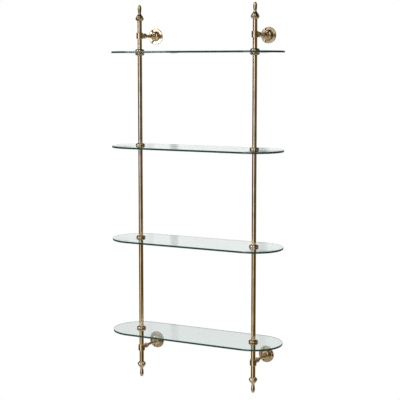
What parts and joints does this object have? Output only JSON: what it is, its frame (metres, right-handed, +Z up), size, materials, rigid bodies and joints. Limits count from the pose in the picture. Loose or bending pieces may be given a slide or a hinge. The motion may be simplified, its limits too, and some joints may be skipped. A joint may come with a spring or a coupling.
{
  "type": "wall-hung etagere",
  "caption": "Wall-hung etagere of clear round-ended glass shelves on upright brass tubes with half-ball collars and turned finials, held off the wall by turned arms on round screw plates.",
  "frame": {"origin": "middle of the lower left rose's back face, on the wall", "axes": "+X to the right along the wall seen from the front, +Y into the wall, +Z up; the front faces -Y"},
  "size_m": [0.5912, 0.2005, 1.2283],
  "materials": {
    "antique_brass": "aged and lacquered",
    "clear_glass": "polished, ground edges",
    "clear_vinyl": "soft, translucent",
    "nylon": "moulded",
    "plated_steel": "yellow zinc plated"
  },
  "bodies": {
    "frame": {"arm_nuts": "plated_steel", "bottom_left_tube": "antique_brass", "bottom_right_tube": "antique_brass", "bottom_shelf": "clear_glass", "bottom_shelf_left_lower_collar": "antique_brass", "bottom_shelf_left_upper_collar": "antique_brass", "bottom_shelf_right_lower_collar": "antique_brass", "bottom_shelf_right_upper_collar": "antique_brass", "glass_bushes": "nylon", "glass_washers": "clear_vinyl", "lower_left_arm": "antique_brass", "lower_left_rose": "antique_brass", "lower_left_tee": "antique_brass", "lower_left_tube": "antique_brass", "lower_middle_shelf": "clear_glass", "lower_middle_shelf_left_lower_collar": "antique_brass", "lower_middle_shelf_left_upper_collar": "antique_brass", "lower_middle_shelf_right_lower_collar": "antique_brass", "lower_middle_shelf_right_upper_collar": "antique_brass", "lower_right_arm": "antique_brass", "lower_right_rose": "antique_brass", "lower_right_tee": "antique_brass", "lower_right_tube": "antique_brass", "middle_left_tube": "antique_brass", "middle_right_tube": "antique_brass", "shelf_studs": "plated_steel", "top_left_tube": "antique_brass", "top_right_tube": "antique_brass", "top_shelf": "clear_glass", "top_shelf_left_lower_collar": "antique_brass", "top_shelf_left_upper_collar": "antique_brass", "top_shelf_right_lower_collar": "antique_brass", "top_shelf_right_upper_collar": "antique_brass", "tube_plugs": "antique_brass", "upper_left_arm": "antique_brass", "upper_left_rose": "antique_brass", "upper_left_tee": "antique_brass", "upper_left_tube": "antique_brass", "upper_middle_shelf": "clear_glass", "upper_middle_shelf_left_lower_collar": "antique_brass", "upper_middle_shelf_left_upper_collar": "antique_brass", "upper_middle_shelf_right_lower_collar": "antique_brass", "upper_middle_shelf_right_upper_collar": "antique_brass", "upper_right_arm": "antique_brass", "upper_right_rose": "antique_brass", "upper_right_tee": "antique_brass", "upper_right_tube": "antique_brass"},
    "lower_left_stud": {"lower_left_finial_stud": "plated_steel"},
    "lower_left_finial": {"lower_left_finial": "antique_brass"},
    "lower_right_stud": {"lower_right_finial_stud": "plated_steel"},
    "lower_right_finial": {"lower_right_finial": "antique_brass"},
    "upper_left_stud": {"upper_left_finial_stud": "plated_steel"},
    "upper_left_finial": {"upper_left_finial": "antique_brass"},
    "upper_right_stud": {"upper_right_finial_stud": "plated_steel"},
    "upper_right_finial": {"upper_right_finial": "antique_brass"}
  },
  "joints": [
    {"name": "lower_left_finial_lift", "type": "slide", "parent": "frame", "child": "lower_left_stud", "axis": [0, 0, -1], "range_m": [0, 0.00762]},
    {"name": "lower_left_finial_turn", "type": "hinge", "parent": "lower_left_stud", "child": "lower_left_finial", "pos_m": [0, -0.108, -0.048], "axis": [0, 0, -1], "range_deg": [0, 2160]},
    {"name": "lower_right_finial_lift", "type": "slide", "parent": "frame", "child": "lower_right_stud", "axis": [0, 0, -1], "range_m": [0, 0.00762]},
    {"name": "lower_right_finial_turn", "type": "hinge", "parent": "lower_right_stud", "child": "lower_right_finial", "pos_m": [0.4064, -0.108, -0.048], "axis": [0, 0, -1], "range_deg": [0, 2160]},
    {"name": "upper_left_finial_lift", "type": "slide", "parent": "frame", "child": "upper_left_stud", "axis": [0, 0, 1], "range_m": [0, 0.00762]},
    {"name": "upper_left_finial_turn", "type": "hinge", "parent": "upper_left_stud", "child": "upper_left_finial", "pos_m": [0, -0.108, 1.0779], "axis": [0, 0, 1], "range_deg": [0, 2160]},
    {"name": "upper_right_finial_lift", "type": "slide", "parent": "frame", "child": "upper_right_stud", "axis": [0, 0, 1], "range_m": [0, 0.00762]},
    {"name": "upper_right_finial_turn", "type": "hinge", "parent": "upper_right_stud", "child": "upper_right_finial", "pos_m": [0.4064, -0.108, 1.0779], "axis": [0, 0, 1], "range_deg": [0, 2160]}
  ],
  "couplings": [
    {"joint": "lower_left_finial_turn", "follows": "lower_left_finial_lift", "rad_per_m": 4947.4},
    {"joint": "lower_right_finial_turn", "follows": "lower_right_finial_lift", "rad_per_m": 4947.4},
    {"joint": "upper_left_finial_turn", "follows": "upper_left_finial_lift", "rad_per_m": 4947.4},
    {"joint": "upper_right_finial_turn", "follows": "upper_right_finial_lift", "rad_per_m": 4947.4}
  ]
}
